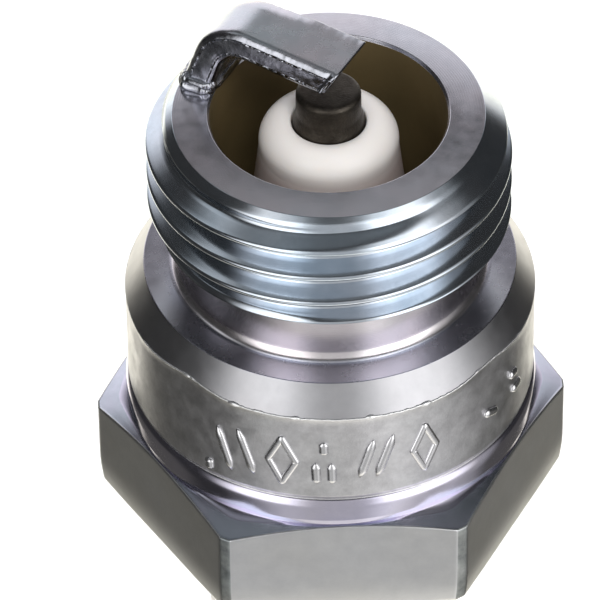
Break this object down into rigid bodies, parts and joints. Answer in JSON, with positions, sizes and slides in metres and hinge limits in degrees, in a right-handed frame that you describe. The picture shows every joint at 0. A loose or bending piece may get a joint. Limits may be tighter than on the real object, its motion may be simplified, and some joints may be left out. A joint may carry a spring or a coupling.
{
  "type": "spark plug",
  "caption": "Compact spark plug with a short metric thread, a conical seat, a hexagon, a bent ground electrode and a screw-on terminal nut.",
  "frame": {"origin": "centre of the 14.8 mm gauge circle on the conical seat", "axes": "+Z along the plug towards its firing end; two hexagon flats face +Y and -Y; the ground electrode's foot is at 148 degrees from +X towards +Y"},
  "size_m": [0.0182, 0.016, 0.0541],
  "materials": {
    "plated_steel": "bright turned steel with clear chromate plating, faint blue and pink tints",
    "nickel_strap": "rolled nickel alloy with sheared edges",
    "alumina": "white alumina, glazed outside the shell and fired matt at the nose",
    "nickel_tip": "oxidised nickel alloy, dark brown-grey",
    "copper_core": "extruded copper",
    "packing_steel": "annealed steel, dull",
    "talc": "pressed talc powder",
    "glass_seal": "copper-filled glass, fused",
    "resistor_body": "fired carbon and glass mix",
    "terminal_steel": "nickel-plated steel",
    "terminal_nut_steel": "turned and nickel-plated steel"
  },
  "bodies": {
    "plug": {"shell": "plated_steel", "ground_electrode": "nickel_strap", "insulator": "alumina", "center_electrode": "nickel_tip", "center_electrode_core": "copper_core", "inner_packing_washer": "packing_steel", "lower_packing_ring": "packing_steel", "talc_ring": "talc", "upper_packing_ring": "packing_steel", "lower_glass_seal": "glass_seal", "resistor": "resistor_body", "upper_glass_seal": "glass_seal", "terminal_stud": "terminal_steel"},
    "nut": {"terminal_nut": "terminal_nut_steel"}
  },
  "joints": [
    {"name": "nut_unscrew", "type": "slide", "parent": "plug", "child": "nut", "axis": [0, 0, -1], "range_m": [0, 0.009]}
  ]
}
